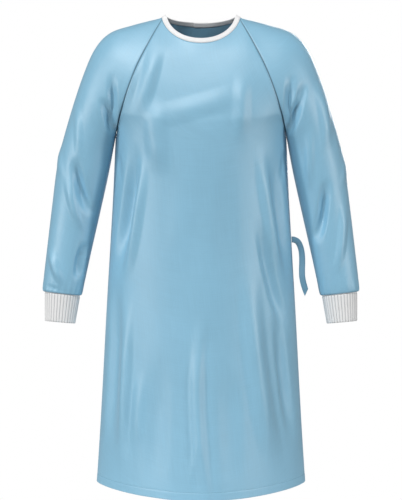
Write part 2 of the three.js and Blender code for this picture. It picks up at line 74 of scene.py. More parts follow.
# Neck binding, cuffs, ties and sewing
BINDING = {"width": 13, "wall": 2.6, "proud": 0.5, "gap": 0.4, "stations": 72, "ease": 4, "sewn_at": 0.2}
CUFF = {
    "wall": 2.2, "ribs": 32, "rib_points": 10, "rib_height": 1.3,
    "rows": 26, "roll": 2.0, "valley_power": 5,
}
TIE = {"width": 15, "wall": 1.3, "slant": 7, "slant_from": 0.85, "drop": 550, "steps": 90, "across": 7}
TIE_SEWING = {"inset": 2, "to": 0.93, "bars": (3, 9, 15), "bar_points": 12}
BACK_TIE_CLEAR = 0.6
STITCH = {
    "pitch": 3.6, "length": 2.7, "width": 0.62, "height": 0.34,
    "inset": 4.0, "lift": 0.1, "ahead": 0.5,
}
# Rings of a stitch: the place along it, and the share of its full section.
STITCH_RINGS = ((-0.5, 0.35), (-0.3, 1.0), (0.3, 1.0), (0.5, 0.35))

# Facets of each piece
FRONT_GRID = {"across": 140, "yoke": 68, "skirt": 190}
BACK_GRID = {"across": 92, "yoke": 66, "skirt": 180}
SLEEVE_GRID = {"across": 150, "yoke": 110, "arm": 120}
EDGE_SHARES = (0.003, 0.007, 0.013)
HEM_SHARES = (0.002, 0.005, 0.018, 0.0205, 0.0232, 0.0259, 0.029)

# Colours, linear
BLUE = (0.234, 0.484, 0.652, 1)
# Painted shade for the seams, a near-black blue
SEAM_SHADE_BLUE = (0.035, 0.085, 0.13, 1)
THREAD_BLUE = (0.17, 0.37, 0.50, 1)
# The ties' blue: the cloth's own blue darkened, painted shade
TIE_SHADED_BLUE = (0.20, 0.425, 0.58, 1)
WHITE = (0.83, 0.835, 0.835, 1)
# Painted shade in the valleys of the rib knit
RIB_SHADE_GREY = (0.50, 0.51, 0.52, 1)


# Tables

def table(columns, rows):
    """One array for each named column."""
    names = columns.split()
    return {name: np.array([row[i] for row in rows], float) for i, name in enumerate(names)}


# A level runs from 0 at the neck to 1 at the underarm, and on to 2 at the hem or at the wrist.
# Raglan seams on the +X side: a point, and the handles towards the panel's middle and over the sleeve.
FRONT_RAGLAN = table("level at panel sleeve", (
    (0.0, (95, -14, -7.5), (-9, -33, -29), (2, 9, 5)),
    (0.2, (123, -58, -56), (-20, -20, -14), (14, 14, 10)),
    (0.4, (153, -84, -115), (-44, -12, -8), (36, 9, 9)),
    (0.6, (176, -91, -173), (-50, -12, -5), (40, 8, 9)),
    (0.8, (194, -76, -232), (-42, -28, -3), (34, -12, 9)),
    (0.92, (204, -44, -272), (-22, -46, -2), (18, -54, 5)),
    (1.0, (210, -1, -UNDERARM), (-2, -60, 0), (3, -95, 0)),
))
BACK_RAGLAN = table("level at panel sleeve", (
    (0.0, (84, 42, -15), (-22, 14, -8), (8, -13, 5)),
    (0.2, (118, 77, -60), (-34, 13, -8), (22, -9, 10)),
    (0.4, (150, 96, -118), (-46, 9, -5), (36, -5, 10)),
    (0.6, (174, 98, -176), (-50, 9, -3), (40, -4, 9)),
    (0.8, (194, 79, -236), (-42, 27, -3), (34, 12, 8)),
    (0.92, (204, 45, -274), (-22, 46, -2), (18, 54, 5)),
    (1.0, (210, 1, -UNDERARM), (-2, 57, 0), (3, 95, 0)),
))

# Centre lines above the underarm: level, y, z and how far the cloth runs straight across.
FRONT_CENTRE = ((0.0, -73, -65, 52), (0.25, -93, -116, 68), (0.5, -111, -170, 92), (0.75, -125, -233, 110))
BACK_CENTRE = ((0.0, 66, -30, 34), (0.25, 88, -84, 56), (0.5, 107, -150, 84), (0.75, 119, -223, 108))

# Sections of the body: half width, depths, and the shares that run straight at the side and the centre.
BODY = table("level half front back side centre", (
    (1.0, 210, 134, 127, 0.44, 0.58),
    (1.15, 216, 138, 129, 0.44, 0.58),
    (1.3, 224, 146, 135, 0.42, 0.57),
    (1.5, 235, 160, 148, 0.39, 0.55),
    (1.7, 245, 177, 162, 0.35, 0.53),
    (1.85, 253, 191, 173, 0.31, 0.51),
    (2.0, 262, 206, 185, 0.27, 0.50),
))

# Sections of the +X sleeve: outer ridge, inner edge, depth to front and back, and the rise to the front.
ARMPIT = (210, 0, -UNDERARM)
SLEEVE_ROWS = (
    (0.0, (97, 13, -6), ARMPIT, 9, 0),
    (0.2, (165, 8, -23), ARMPIT, 30, 0),
    (0.4, (223, 6, -43), ARMPIT, 46, 0),
    (0.6, (261, 4, -84), ARMPIT, 57, 0),
    (0.8, (293, 3, -158), ARMPIT, 66, 0),
    (1.0, (325, 2, -254), ARMPIT, 71, 0),
    (1.25, (352, 2, -357), (227, 1, -385), 68, 0.03),
    (1.5, (367, -3, -465), (250, -2, -487), 62, 0.06),
    (1.75, (380, -13, -572), (273, -12, -587), 55, 0.1),
    (1.9, (388, -21, -640), (287, -20, -651), 49, 0.14),
    (1.97, (391, -24, -671), (294, -23, -682), 45, 0.15),
    (2.0, (386, -25, -678), (299, -24, -688), 40, 0.15),
)
SLEEVE = table("level ridge inner depth tilt", SLEEVE_ROWS)
ARM = table("level ridge inner depth tilt", [row for row in SLEEVE_ROWS if row[0] >= 1])
CUFF_SECTIONS = table("level ridge inner depth tilt", (
    (0, (386, -25, -678), (299, -24, -688), 40, 0.15),
    (1, (386, -32, -748), (311, -31, -755), 33, 0.15),
))

# Folds as they lie in the front view: the face they are on, both ends, the bend of the middle to +X,
# half width and height. The last rows of each face are fine creases.
FOLDS = (
    ("front", (-104, -58), (-156, -250), 4, 26, 8),
    ("front", (-118, -190), (-96, -390), 0, 36, 9.5),
    ("front", (-140, -246), (124, -172), -6, 34, 3.6),
    ("front", (100, -130), (95, -310), 0, 26, 6.5),
    ("front", (-156, -298), (-210, -640), 6, 21, -18),
    ("front", (-138, -328), (-188, -660), 6, 18, 10),
    ("front", (140, -300), (198, -640), -6, 21, 9.5),
    ("front", (172, -318), (226, -680), -6, 20, -12),
    ("front", (136, -480), (214, -790), -6, 18, -12),
    ("front", (184, -700), (228, -1060), -4, 18, -11),
    ("front", (-204, -600), (-232, -1120), 4, 18, -10),
    ("front", (-177, -660), (-199, -1130), 3, 19, 12),
    ("front", (-146, -850), (-162, -1075), 0, 20, 5.5),
    ("front", (2, -700), (14, -BODY_LENGTH), -17, 22, 12),
    ("front", (-6, -1000), (-27, -1140), 0, 11, 4),
    ("front", (116, -570), (192, -1150), -17, 34, 15.5),
    ("front", (-104, -800), (-112, -BODY_LENGTH), 0, 40, -7),
    ("front", (66, -820), (76, -BODY_LENGTH), 0, 36, -5),
    ("front", (-48, -330), (-60, -620), 6, 40, 2),
    ("front", (56, -360), (70, -640), -6, 40, -2),
    ("front", (-206, -318), (-196, -420), 3, 9, -2.5),
    ("front", (206, -318), (198, -410), -3, 9, -2.5),
    ("front", (150, -900), (176, -1120), -6, 8, 1.5),
    ("back", (-142, -320), (-186, -660), 6, 26, -6),
    ("back", (144, -320), (188, -640), -6, 26, -6.5),
    ("back", (-126, -345), (-168, -640), 5, 20, 5.5),
    ("back", (126, -330), (170, -620), -5, 19, 5),
    ("back", (-150, -690), (-174, -BODY_LENGTH), 5, 32, 17),
    ("back", (158, -650), (178, -BODY_LENGTH), -6, 32, 17),
    ("back", (-92, -760), (-108, -BODY_LENGTH), 3, 32, -10),
    ("back", (112, -780), (122, -BODY_LENGTH), -4, 32, -10),
    ("back", (-208, -650), (-228, -1090), 3, 19, -5),
    ("back", (206, -660), (228, -1080), -3, 19, -5.5),
    ("back", (-62, -130), (-86, -440), 8, 24, 7),
    ("back", (74, -140), (94, -430), -8, 24, 7),
    ("back", (-120, -180), (-150, -330), 5, 17, -4),
    ("back", (126, -190), (152, -340), -5, 17, -4),
    ("back", (-34, -560), (-50, -1080), -4, 24, 4),
    ("back", (24, -760), (34, -BODY_LENGTH), 3, 22, -3),
    ("back", (62, -548), (128, -516), 4, 8, -1.6),
    ("back", (62, -562), (134, -606), -5, 9, -2),
    ("sleeves", (-213, -292), (-217, -130), -2, 16, -10),
    ("sleeves", (-214, -292), (-241, -190), -3, 16, -11),
    ("sleeves", (213, -292), (217, -130), 2, 16, -10),
    ("sleeves", (214, -292), (241, -195), 3, 16, -11),
    ("sleeves", (226, -272), (252, -150), 2, 15, -8.5),
    ("sleeves", (-310, -335), (-266, -492), -5, 19, -18),
    ("sleeves", (-325, -380), (-291, -525), -5, 15, 8),
    ("sleeves", (-303, -205), (-297, -360), 3, 14, 4),
    ("sleeves", (-282, -545), (-304, -650), -4, 14, -10),
    ("sleeves", (-369, -560), (-335, -662), -4, 15, 8.5),
    ("sleeves", (-388, -656), (-312, -682), 0, 11, -7),
    ("sleeves", (304, -385), (279, -560), 5, 18, -18),
    ("sleeves", (276, -150), (308, -335), 8, 19, 7),
    ("sleeves", (262, -262), (265, -430), 0, 15, 5.5),
    ("sleeves", (346, -435), (326, -640), 9, 15, 6),
    ("sleeves", (294, -682), (384, -668), 0, 9, -4.5),
    ("sleeves", (-212, -296), (-217, -140), -2, 5, -4),
    ("sleeves", (-213, -296), (-239, -198), -3, 5, -4),
    ("sleeves", (212, -296), (217, -140), 2, 5, -4),
    ("sleeves", (213, -296), (238, -203), 3, 5, -4),
    ("sleeves", (-348, -305), (-338, -400), -4, 12, 2.5),
    ("sleeves", (352, -330), (344, -420), 4, 12, 2.5),
)

# The side tie from its seam, with the turn of the tape in degrees, and the back tie's way down its panel.
SIDE_TIE = table("level at turn", (
    (0, (0.4, 0, 0), 0),
    (1, (6, 0, 0), 2),
    (2, (16, 3, -6), 10),
    (3, (23, 8, -20), 18),
    (4, (26.5, 10, -36), 16),
    (5, (27.5, 10, -56), 10),
    (6, (27, 8, -76), 4),
    (7, (27.5, 6, -93), -2),
    (8, (30.5, 5, -109), -8),
    (9, (35, 5, -124), -12),
    (10, (38.5, 6, -133), -14),
))
BACK_TIE = table("level inset", ((0, 0.034), (40, 0.036), (80, 0.046), (120, 0.05), (165, 0.04)))


# Curves and surfaces

def smooth(low, high, value):
    share = np.clip((value - low) / (high - low), 0, 1)
    return share * share * (3 - 2 * share)


def unit(vectors):
    return vectors / np.linalg.norm(vectors, axis=-1, keepdims=True)


def sample(tab, levels):
    """Every column of a table at some levels, on a smooth curve through its rows."""
    keys = tab["level"]
    levels = np.asarray(levels, float)
    row = np.searchsorted(keys[1:-1], levels, side="left")
    span = keys[row + 1] - keys[row]
    t = (levels - keys[row]) / span
    before = np.maximum(np.arange(len(keys)) - 1, 0)
    after = np.minimum(np.arange(len(keys)) + 1, len(keys) - 1)
    found = {}
    for name, values in tab.items():
        run = keys[after] - keys[before]
        wide = values.ndim > 1
        slope = (values[after] - values[before]) / (run[:, None] if wide else run)
        s, gap = (t[:, None], span[:, None]) if wide else (t, span)
        found[name] = (
            values[row] * (2 * s**3 - 3 * s**2 + 1)
            + slope[row] * gap * (s**3 - 2 * s**2 + s)
            + values[row + 1] * (3 * s**2 - 2 * s**3)
            + slope[row + 1] * gap * (s**3 - s**2)
        )
    return found


def bezier(start, start_handle, end_handle, end, share):
    """Cubic curves, one for each row of points, at the shares along them: rows by shares by 3."""
    start, end = start[:, None], end[:, None]
    t = share[None, :, None]
    first = start + start_handle[:, None]
    second = end + end_handle[:, None]
    return start * (1 - t) ** 3 + first * 3 * t * (1 - t) ** 2 + second * 3 * t**2 * (1 - t) + end * t**3


def columns(*values):
    return np.stack(np.broadcast_arrays(*values), axis=-1).astype(float)


def body_z(levels):
    return -UNDERARM - SKIRT * (levels - 1)


def level_at(drop):
    return 1 + (drop - UNDERARM) / SKIRT


def centre_line(yoke, depth):
    """The centre line of the front or back over all levels."""
    below = zip(BODY["level"], depth, body_z(BODY["level"]), BODY["centre"] * BODY["half"])
    return table("level y z reach", [*yoke, *below])


FRONT = {"raglan": FRONT_RAGLAN, "centre": centre_line(FRONT_CENTRE, -BODY["front"]), "sign": -1}
BACK = {"raglan": BACK_RAGLAN, "centre": centre_line(BACK_CENTRE, BODY["back"]), "sign": 1}


def raglan_edge(half, levels, own, other):
    """One side of a raglan seam: the cloth's edge, half a gap from the middle, and its handle."""
    seam = sample(half["raglan"], np.minimum(levels, 1))
    away = unit(unit(seam[own]) - unit(seam[other]))
    return seam["at"] + away * SEAM_GAP / 2, seam[own]


def panel_edge(half, levels):
    at, handle = raglan_edge(half, levels, "panel", "sleeve")
    section = sample(BODY, np.maximum(levels, 1))
    depth = section["front"] if half["sign"] < 0 else section["back"]
    side_at = columns(section["half"], half["sign"] * SEAM_GAP / 2, body_z(levels))
    side_handle = columns(0, half["sign"] * section["side"] * depth, 0)
    below = (levels > 1)[:, None]
    return np.where(below, side_at, at), np.where(below, side_handle, handle)


def body_grid(half, levels, across):
    """Points of the front or back: across runs from -1 at the -X edge, by 0, to 1."""
    edge, handle = panel_edge(half, levels)
    centre = sample(half["centre"], levels)
    middle = columns(0, centre["y"], centre["z"])
    grid = bezier(middle, columns(centre["reach"], 0, 0), handle, edge, np.abs(across))
    grid[..., 0] *= np.where(across < 0, -1, 1)
    return grid


def side_handle(section, sign):
    reach = sign * section["depth"] * 4 / 3
    return columns(0, reach, -reach * section["tilt"])


def arm_edge(section, sign):
    return section["inner"] + np.array([0, sign * SEAM_GAP / 2, 0]), side_handle(section, sign)


def both_halves(section, edge_of, around):
    """A sleeve or cuff grid: around runs from 0 at the front edge, by 0.5 at the ridge, to 1."""
    share = np.where(around <= 0.5, 2 * around, 2 - 2 * around)
    parts = []
    for half in (FRONT, BACK):
        edge, handle = edge_of(half)
        ridge_handle = side_handle(section, half["sign"])
        parts.append(bezier(edge, handle, ridge_handle, section["ridge"], share))
    return np.where((around <= 0.5)[None, :, None], *parts)


def sleeve_grid(levels, around):
    section = sample(SLEEVE, levels)
    arm = sample(ARM, np.maximum(levels, 1))
    below = (levels > 1)[:, None]

    def edge_of(half):
        high = raglan_edge(half, levels, "sleeve", "panel")
        low = arm_edge(arm, half["sign"])
        return np.where(below, low[0], high[0]), np.where(below, low[1], high[1])

    return both_halves(section, edge_of, around)


def cuff_grid(down, around):
    section = sample(CUFF_SECTIONS, down)
    grid = both_halves(section, lambda half: arm_edge(section, half["sign"]), around)
    grid[..., 2] -= SEAM_GAP
    return grid


def mirrored(points):
    return points * np.array([-1.0, 1.0, 1.0])


# Folds

def fold_height(side, grid):
    """How far the folds and creases of one side move each point out of the surface."""
    x, z = grid[..., 0], grid[..., 2]
    height = np.zeros(x.shape)
    for face, (ax, az), (bx, bz), bend, half, peak in FOLDS:
        if face != side:
            continue
        dx, dz = bx - ax, bz - az
        length = math.hypot(dx, dz)
        along = np.clip(((x - ax) * dx + (z - az) * dz) / length**2, 0, 1)
        bow = bend * 4 * along * (1 - along) / length
        away = np.hypot(x - ax - along * dx + bow * dz, z - az - along * dz - bow * dx) / half
        fade = smooth(0, FOLD_FADE, along)
        if bz > -BODY_LENGTH:
            fade = fade * smooth(0, FOLD_FADE, 1 - along)
        height += peak * fade * (1 - np.minimum(away, 1) ** 2) ** 2
    return height


def panel_folds(side, base, across, up):
    """The folds of a body panel, run out towards its side edges and nearly flat at the hem."""
    run_out = smooth(0, FOLD_RUNOUT["panel"], 1 - np.abs(across))
    low = FOLD_RUNOUT["kept"] + (1 - FOLD_RUNOUT["kept"]) * smooth(0, FOLD_RUNOUT["hem"], up)
    return fold_height(side, base) * run_out * low


def eased_underarm(base, levels, across):
    """A panel or sleeve with the turn at underarm level made soft, away from its seams."""
    near = 1 - smooth(0, UNDERARM_EASE["reach"], np.abs(levels - 1))
    inside = smooth(0, UNDERARM_EASE["seam"], 1 - np.abs(across))
    share = UNDERARM_EASE["rate"] * near[1:-1, None, None] * inside[None, :, None]
    soft = base.copy()
    for _ in range(UNDERARM_EASE["rounds"]):
        soft[1:-1] += share * (soft[2:] + soft[:-2] - 2 * soft[1:-1])
    return soft


def groove(distance):
    """The dip of the cloth into a seam."""
    return -GROOVE["depth"] * np.exp(-((distance / GROOVE["reach"]) ** 2))


def hem_height(distance, width):
    """A turned hem, a step thicker than the cloth and drawn in along its sewing."""
    step = HEM["step"] * (1 - smooth(width - HEM["reach"], width + HEM["reach"], distance))
    return step - HEM["dent"] * np.exp(-(((distance - width) / HEM["reach"]) ** 2))


# Meshes

def steps(low, high, count):
    return np.linspace(low, high, count + 1)


def levels_of(upper, lower):
    """Rows down to the underarm and below it, with closer ones at the hem."""
    hem = [2 - share for share in HEM_SHARES]
    return np.unique(np.concatenate([steps(0, 1, upper), steps(1, 2, lower), hem]))


def with_edges(low, high, count):
    """Even columns, with closer ones beside both ends."""
    near = (high - low) * np.array(EDGE_SHARES)
    return np.unique(np.concatenate([steps(low, high, count), low + near, high - near]))


def arc(grid, axis):
    """Distance along the rows or columns of a grid, from its first line."""
    length = np.linalg.norm(np.diff(grid, axis=axis), axis=-1)
    first = np.zeros_like(np.take(length, [0], axis=axis))
    return np.concatenate([first, np.cumsum(length, axis=axis)], axis=axis)


def grid_normals(grid):
    return unit(np.cross(np.gradient(grid, axis=1), np.gradient(grid, axis=0)))


def wall(outer, inner, tube=False):
    """Points and quads of a closed wall between two faces with the same grid."""
    rows, across = outer.shape[:2]
    count = rows * across
    index = np.arange(count).reshape(rows, across)
    if tube:
        index = np.hstack([index, index[:, :1]])
    a, b, c, d = index[:-1, :-1], index[:-1, 1:], index[1:, 1:], index[1:, :-1]

    def rim(line):
        first, second = line[:-1], line[1:]
        return np.stack([first, first + count, second + count, second], -1)

    outside = np.stack([a, b, c, d], -1).reshape(-1, 4)
    inside = np.stack([a, d, c, b], -1).reshape(-1, 4) + count
    quads = [outside, inside, rim(index[0]), rim(index[-1, ::-1])]
    if not tube:
        quads += [rim(index[::-1, 0]), rim(index[:, -1])]
    return np.concatenate([outer.reshape(-1, 3), inner.reshape(-1, 3)]), np.concatenate(quads)


def bar(rings):
    """Points and quads of a closed bar through rings with an even number of points."""
    count, sides = rings.shape[:2]
    index = np.arange(count * sides).reshape(count, sides)
    turned = np.roll(index, -1, axis=1)
    quads = [np.stack([index[:-1], turned[:-1], turned[1:], index[1:]], -1).reshape(-1, 4)]
    i = np.arange(sides // 2 - 1)
    cap = np.stack([i, sides - 1 - i, sides - 2 - i, i + 1], -1)
    quads += [cap, cap[:, ::-1] + (count - 1) * sides]
    return rings.reshape(-1, 3), np.concatenate(quads)


def piece(name, shape, material, slot, node_name=None, **fields):
    """A shown piece, made from points in millimetres, that rides on the gown's one body."""
    points, quads = shape
    mesh = bpy.data.meshes.new(name)
    mesh.from_pydata((points * MM).tolist(), [], quads.tolist())
    mesh.polygons.foreach_set("use_smooth", np.ones(len(quads), bool))
    for key, values in fields.items():
        wide = values.ndim > 1
        attribute = mesh.attributes.new(key, "FLOAT_VECTOR" if wide else "FLOAT", "POINT")
        attribute.data.foreach_set("vector" if wide else "value", values.astype(np.float32).ravel())
    mesh.materials.append(material)
    mesh.update()
    made = bpy.data.objects.new(name, mesh)
    bpy.context.scene.collection.objects.link(made)
    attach(made, "root")
    if node_name:
        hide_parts(node_name)
    return made


# Materials

def new_material(name, roughness, sheen, specular=0.5):
    material = bpy.data.materials.new(name)
    material.use_nodes = True
    tree = material.node_tree
    shader = tree.nodes["Principled BSDF"]
    shader.inputs["Roughness"].default_value = roughness
    shader.inputs["Specular IOR Level"].default_value = specular
    shader.inputs["Sheen Weight"].default_value = sheen
    shader.inputs["Sheen Roughness"].default_value = 0.45
    return material, tree, shader


def node(tree, kind, inputs=(), **settings):
    """A shader node with its settings, and each input set to a value or linked to a socket."""
    made = tree.nodes.new(kind)
    for key, value in settings.items():
        setattr(made, key, value)
    for key, value in dict(inputs).items():
        if isinstance(value, bpy.types.NodeSocket):
            tree.links.new(value, made.inputs[key])
        else:
            made.inputs[key].default_value = value
    return made


def field(tree, name, vector=False):
    found = node(tree, "ShaderNodeAttribute", attribute_name=name)
    return found.outputs["Vector" if vector else "Fac"]


def noise(tree, place, stretch, detail=2.0):
    """Noise from 0 to 1, with its scale along the cut's width and length, per millimetre."""
    scaled = node(tree, "ShaderNodeVectorMath", {0: place, 1: (*stretch, 1.0)}, operation="MULTIPLY")
    made = node(tree, "ShaderNodeTexNoise", {"Vector": scaled.outputs[0], "Scale": 1.0, "Detail": detail})
    return made.outputs["Fac"]


def math_node(tree, operation, first, second):
    return node(tree, "ShaderNodeMath", {0: first, 1: second}, operation=operation).outputs[0]


def mixed(tree, factor, first, second, blend="MIX"):
    made = node(tree, "ShaderNodeMix", data_type="RGBA", blend_type=blend)
    for key, value in ((0, factor), (6, first), (7, second)):
        if isinstance(value, bpy.types.NodeSocket):
            tree.links.new(value, made.inputs[key])
        else:
            made.inputs[key].default_value = value
    return made.outputs[2]


def bump(tree, height, strength, distance, normal=None):
    made = node(tree, "ShaderNodeBump", {"Height": height, "Strength": strength, "Distance": distance})
    if normal:
        tree.links.new(normal, made.inputs["Normal"])
    return made.outputs["Normal"]


def threads(tree, place, pitch):
    """Height of a plain weave: one set of threads across the cut and one along it."""
    scale = math.pi / (10 * pitch)
    inputs = {"Vector": place, "Scale": scale}
    waves = [node(tree, "ShaderNodeTexWave", inputs, bands_direction=way) for way in ("X", "Y")]
    return math_node(tree, "ADD", *[wave.outputs["Fac"] for wave in waves])


def cloth_material(name, colour):
    """Light blue woven cloth with a soft sheen: slubs, a fine weave and a slight crumple, with painted
    shade along its seams.
    """
    material, tree, shader = new_material(name, roughness=0.43, sheen=0.12, specular=1.0)
    cut = field(tree, "cut", vector=True)
    warp = noise(tree, cut, (0.55, 0.012))
    weft = noise(tree, cut, (0.012, 0.55))
    broad = noise(tree, cut, (0.011, 0.008))
    slubs = math_node(tree, "ADD", warp, weft)
    tone = math_node(tree, "ADD", slubs, broad)
    shade = node(tree, "ShaderNodeMapRange", {"Value": tone, 1: 1.0, 2: 2.0, 3: 0.94, 4: 1.06}).outputs[0]
    toned = mixed(tree, 1.0, colour, shade, "MULTIPLY")
    # Painted shade: near-black blue mixed in along the seams
    seam_shaded = mixed(tree, field(tree, "seam"), toned, SEAM_SHADE_BLUE)
    tree.links.new(seam_shaded, shader.inputs["Base Color"])
    gloss = node(tree, "ShaderNodeMapRange", {"Value": slubs, 1: 0.7, 2: 1.3, 3: 0.39, 4: 0.47}).outputs[0]
    tree.links.new(gloss, shader.inputs["Roughness"])
    crumple = bump(tree, noise(tree, cut, (0.035, 0.028)), 0.22, 0.0016)
    weave = bump(tree, threads(tree, cut, 1.1), 0.3, 0.00012, crumple)
    tree.links.new(weave, shader.inputs["Normal"])
    return material


def knit_material():
    """White rib knit with painted shade, grey along the rib valleys, and rows of looped stitches."""
    material, tree, shader = new_material("white_knit", roughness=0.85, sheen=0.3, specular=0.25)
    cut = field(tree, "cut", vector=True)
    fuzz = noise(tree, cut, (0.6, 0.6), 3.0)
    white = mixed(tree, fuzz, (0.78, 0.785, 0.785, 1), (0.87, 0.87, 0.865, 1))
    # Painted shade: grey mixed in along the rib valleys
    tree.links.new(mixed(tree, field(tree, "valley"), white, RIB_SHADE_GREY), shader.inputs["Base Color"])
    loops = bump(tree, threads(tree, cut, 2.2), 0.5, 0.0004)
    tree.links.new(bump(tree, fuzz, 0.3, 0.0003, loops), shader.inputs["Normal"])
    return material


def tape_material():
    """White woven tape with a fine cross rib."""
    material, tree, shader = new_material("white_tape", roughness=0.7, sheen=0.2, specular=0.3)
    cut = field(tree, "cut", vector=True)
    slubs = noise(tree, cut, (0.5, 0.05))
    white = mixed(tree, slubs, (0.79, 0.795, 0.80, 1), (0.88, 0.88, 0.88, 1))
    tree.links.new(white, shader.inputs["Base Color"])
    tree.links.new(bump(tree, threads(tree, cut, 1.0), 0.4, 0.0002), shader.inputs["Normal"])
    return material


def thread_material(name, colour):
    """Spun sewing thread: a slight twist of light and dark."""
    material, tree, shader = new_material(name, roughness=0.6, sheen=0.1)
    place = node(tree, "ShaderNodeTexCoord").outputs["Object"]
    twist = node(tree, "ShaderNodeTexNoise", {"Vector": place, "Scale": 900.0}).outputs["Fac"]
    dark = tuple(0.75 * value for value in colour[:3]) + (1,)
    tree.links.new(mixed(tree, twist, dark, colour), shader.inputs["Base Color"])
    return material


CLOTH_BLUE = cloth_material("blue_cloth", BLUE)
# The same cloth in a darker blue for both ties, painted shade
TIE_SHADED_CLOTH = cloth_material("blue_tie_cloth_painted_shade", TIE_SHADED_BLUE)
KNIT = knit_material()
TAPE = tape_material()
BLUE_THREAD = thread_material("blue_thread", THREAD_BLUE)
WHITE_THREAD = thread_material("white_thread", WHITE)


# Sewing

def along_rows(outer, distance, at, keep):
    """A path that crosses the rows where their distance field is at: points and normals."""
    rows = np.flatnonzero(keep)
    normals = grid_normals(outer)
    path = []
    for values in (outer, normals):
        lines = [[np.interp(at, distance[r], values[r, :, k]) for k in range(3)] for r in rows]
        path.append(np.array(lines))
    return path


def along_columns(outer, distance, at):
    """A path that crosses the columns, as for a hem."""
    flip = [np.swapaxes(v, 0, 1) for v in (outer, distance)]
    points, normals = along_rows(flip[0], flip[1], at, np.ones(flip[0].shape[0], bool))
    return [points, -normals]


def turned(path):
    """The same path, with its normals the other way."""
    points, normals = path
    return [points, -normals]


def stitches(paths):
    """One joined mesh of stitches, each a short rounded bar that lies along its path."""
    ring = np.array([(1, 1), (-1, 1), (-1, -1), (1, -1)]) * 0.5
    blocks = []
    for points, normals in paths:
        run = np.concatenate([[0], np.cumsum(np.linalg.norm(np.diff(points, axis=0), axis=1))])
        marks = np.arange(STITCH["pitch"] / 2, run[-1], STITCH["pitch"])
        at, up, ahead = [
            np.stack([np.interp(m, run, values[:, k]) for k in range(3)], -1)
            for m, values in ((marks, points), (marks, normals), (marks + STITCH["ahead"], points))
        ]
        up, way = unit(up), unit(ahead - at)
        side = np.cross(up, way)
        at = at + up * STITCH["lift"]
        corners = [
            at
            + way * share * STITCH["length"]
            + side * across * swell * STITCH["width"]
            + up * height * swell * STITCH["height"]
            for share, swell in STITCH_RINGS
            for across, height in ring
        ]
        blocks.append(np.stack(corners, 1))
    made = np.concatenate(blocks)
    _, one = bar(made[0].reshape(len(STITCH_RINGS), len(ring), 3))
    first = np.arange(len(made)) * made.shape[1]
    return made.reshape(-1, 3), (one[None] + first[:, None, None]).reshape(-1, 4)


# Panels

def two_faces(values):
    """A field of the outer face, repeated for the inner one."""
    flat = values.reshape(-1, *values.shape[2:])
    return np.concatenate([flat, flat])


def cloth_piece(name, node_name, base, height, seam_distance, material=CLOTH_BLUE):
    """A thin closed shell of cloth, its outer face moved out of the base by height."""
    outer = base + grid_normals(base) * height[..., None]
    inner = outer - grid_normals(outer) * CLOTH
    cut = np.stack([arc(base, 1), arc(base, 0), np.zeros(height.shape)], -1)
    # Painted shade along the seams, strongest at the cloth's edges
    seam = GROOVE["shade"] * np.exp(-((seam_distance / GROOVE["dark"]) ** 2))
    fields = {"cut": two_faces(cut), "seam": two_faces(seam)}
    made = piece(name, wall(outer, inner), material, "cloth", node_name, **fields)
    return made, outer


def front_cloth():
    """The front panel, and the paths of its sewing."""
    levels = levels_of(FRONT_GRID["yoke"], FRONT_GRID["skirt"])
    across = with_edges(-1, 1, FRONT_GRID["across"])[::-1]
    base = eased_underarm(body_grid(FRONT, levels, across), levels, across)
    left, down = arc(base, 1), arc(base, 0)
    right, up = left[:, -1:] - left, down[-1:] - down
    edge = np.minimum(left, right)
    height = panel_folds("front", base, across, up) + groove(edge) + hem_height(up, HEM["width"])
    made, outer = cloth_piece("front_cloth", "front_panel", base, height, edge)
    raglan = levels <= 1
    paths = [
        along_rows(outer, left, STITCH["inset"], raglan),
        turned(along_rows(outer[:, ::-1], right[:, ::-1], STITCH["inset"], raglan)),
        turned(along_columns(outer[::-1], up[::-1], HEM["width"])),
    ]
    return made, paths


def upper_lift(across):
    """How far the upper back panel stands off, from nothing at its side seam."""
    return LAP_STEP * smooth(*LAP_RISE, across)


def back_cloth(upper):
    """One back panel, and the paths of its sewing."""
    levels = levels_of(BACK_GRID["yoke"], BACK_GRID["skirt"])
    low, high = (-1, LAP) if upper else (-LAP, 1)
    across = with_edges(low, high, BACK_GRID["across"])
    base = eased_underarm(body_grid(BACK, levels, across), levels, across)
    left, down = arc(base, 1), arc(base, 0)
    right, up = left[:, -1:] - left, down[-1:] - down
    seam, free = (left, right) if upper else (right, left)
    height = panel_folds("back", base, across, up) + groove(seam) + hem_height(up, HEM["width"])
    height += hem_height(free, HEM["width"]) + (upper_lift(across) if upper else 0)
    name = "upper" if upper else "lower"
    made, outer = cloth_piece(f"back_{name}_cloth", f"back_panel_{name}", base, height, seam)
    raglan = levels <= 1
    everywhere = levels >= 0
    flipped = [v[:, ::-1] for v in (outer, right)]
    ends = {True: (outer, left), False: flipped}
    paths = []
    for at_first, inset, keep in ((upper, STITCH["inset"], raglan), (not upper, HEM["width"], everywhere)):
        path = along_rows(*ends[at_first], inset, keep)
        paths.append(path if at_first else turned(path))
    paths.append(turned(along_columns(outer[::-1], up[::-1], HEM["width"])))
    return made, paths


